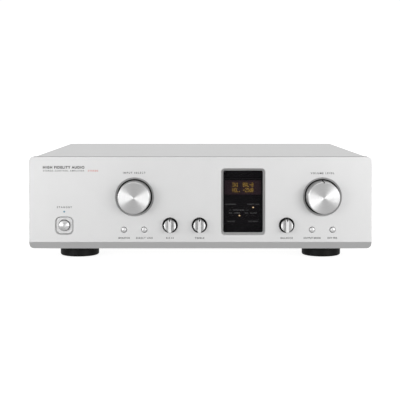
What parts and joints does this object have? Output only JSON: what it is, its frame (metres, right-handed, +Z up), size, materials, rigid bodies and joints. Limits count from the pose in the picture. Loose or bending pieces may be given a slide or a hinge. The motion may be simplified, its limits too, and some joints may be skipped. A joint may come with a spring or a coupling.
{
  "type": "stereo control amplifier",
  "caption": "Full-width hi-fi control amplifier with blasted aluminium front, turned knobs, bar tone knobs, push buttons, tall smoked display window and round feet.",
  "frame": {"origin": "on the floor under the middle of the whole object's bounding box", "axes": "+X to the right seen from the front, -Y out of the front panel, +Z up"},
  "size_m": [0.44, 0.43, 0.1325],
  "materials": {
    "blasted_aluminium": "bead-blasted, clear anodised",
    "cover_paint": "fine textured silver paint",
    "zinc_steel": "zinc plated sheet",
    "turned_aluminium": "turned face, clear anodised",
    "well_black": "satin grey liner",
    "plated_steel": "nickel plated",
    "foot_plastic": "moulded",
    "pad_felt": "felt",
    "control_body": "moulded",
    "smoked_window": "smoked acrylic",
    "tube_glass": "dark glass",
    "circuit_board": "solder resist",
    "core_steel": "varnished laminations",
    "winding": "taped copper winding",
    "can_sleeve": "shrink sleeve",
    "film_sleeve": "film capacitors",
    "black_aluminium": "black anodised",
    "cable_grey": "ribbon cable",
    "gold_plate": "gold plated",
    "ring_white": "insulating ring",
    "ring_red": "insulating ring",
    "connector_black": "moulded",
    "lamp_guide": "clear"
  },
  "bodies": {
    "chassis": {"ac_inlet": "connector_black", "audio_boards": "circuit_board", "board_relays": "control_body", "case_screws": "plated_steel", "centre_shield": "zinc_steel", "chassis_base": "zinc_steel", "control_jacks": "connector_black", "control_nuts": "plated_steel", "coupling_capacitors": "film_sleeve", "display_board": "circuit_board", "display_tube": "tube_glass", "display_window": "smoked_window", "filter_capacitors": "can_sleeve", "foot_front_left": "foot_plastic", "foot_front_right": "foot_plastic", "foot_pads": "pad_felt", "foot_rear_left": "foot_plastic", "foot_rear_right": "foot_plastic", "foot_screws": "plated_steel", "front_board": "circuit_board", "front_panel": "blasted_aluminium", "ground_post": "gold_plate", "input_encoder": "control_body", "main_knob_wells": "well_black", "power_bezel": "turned_aluminium", "power_light_guide": "lamp_guide", "power_supply_board": "circuit_board", "push_switches": "control_body", "rca_jacks": "gold_plate", "rca_rings_left": "ring_white", "rca_rings_right": "ring_red", "rear_panel": "zinc_steel", "regulator_heatsink": "black_aluminium", "ribbon_cable": "cable_grey", "socket_pins": "gold_plate", "sub_panel": "zinc_steel", "tone_knob_wells": "well_black", "tone_potentiometers": "control_body", "top_cover": "cover_paint", "transformer_bracket": "zinc_steel", "transformer_coil": "winding", "transformer_core": "core_steel", "volume_control": "control_body", "xlr_inputs": "connector_black", "xlr_outputs": "connector_black"},
    "input": {"input_knob": "turned_aluminium", "input_shaft": "plated_steel"},
    "volume": {"volume_knob": "turned_aluminium", "volume_shaft": "plated_steel"},
    "bass": {"bass_knob": "turned_aluminium", "bass_shaft": "plated_steel"},
    "treble": {"treble_knob": "turned_aluminium", "treble_shaft": "plated_steel"},
    "balance": {"balance_knob": "turned_aluminium", "balance_shaft": "plated_steel"},
    "monitor": {"monitor_button": "turned_aluminium"},
    "direct": {"direct_button": "turned_aluminium"},
    "mode": {"mode_button": "turned_aluminium"},
    "external": {"external_button": "turned_aluminium"},
    "power": {"power_button": "turned_aluminium"}
  },
  "joints": [
    {"name": "input_turn", "type": "hinge", "parent": "chassis", "child": "input", "pos_m": [-0.0846, -0.195, 0.0812], "axis": [0, 1, 0], "continuous": true},
    {"name": "volume_turn", "type": "hinge", "parent": "chassis", "child": "volume", "pos_m": [0.1566, -0.195, 0.0812], "axis": [0, 1, 0], "range_deg": [-150, 150]},
    {"name": "bass_turn", "type": "hinge", "parent": "chassis", "child": "bass", "pos_m": [-0.039, -0.195, 0.0447], "axis": [0, 1, 0], "range_deg": [-145, 145]},
    {"name": "treble_turn", "type": "hinge", "parent": "chassis", "child": "treble", "pos_m": [-0.0012, -0.195, 0.0447], "axis": [0, 1, 0], "range_deg": [-145, 145]},
    {"name": "balance_turn", "type": "hinge", "parent": "chassis", "child": "balance", "pos_m": [0.1108, -0.195, 0.0447], "axis": [0, 1, 0], "range_deg": [-145, 145]},
    {"name": "monitor_press", "type": "slide", "parent": "chassis", "child": "monitor", "axis": [0, 1, 0], "range_m": [0, 0.001], "stiffness_N_per_m": 800},
    {"name": "direct_press", "type": "slide", "parent": "chassis", "child": "direct", "axis": [0, 1, 0], "range_m": [0, 0.001], "stiffness_N_per_m": 800},
    {"name": "mode_press", "type": "slide", "parent": "chassis", "child": "mode", "axis": [0, 1, 0], "range_m": [0, 0.001], "stiffness_N_per_m": 800},
    {"name": "external_press", "type": "slide", "parent": "chassis", "child": "external", "axis": [0, 1, 0], "range_m": [0, 0.001], "stiffness_N_per_m": 800},
    {"name": "power_press", "type": "slide", "parent": "chassis", "child": "power", "axis": [0, 1, 0], "range_m": [0, 0.002], "stiffness_N_per_m": 800}
  ]
}
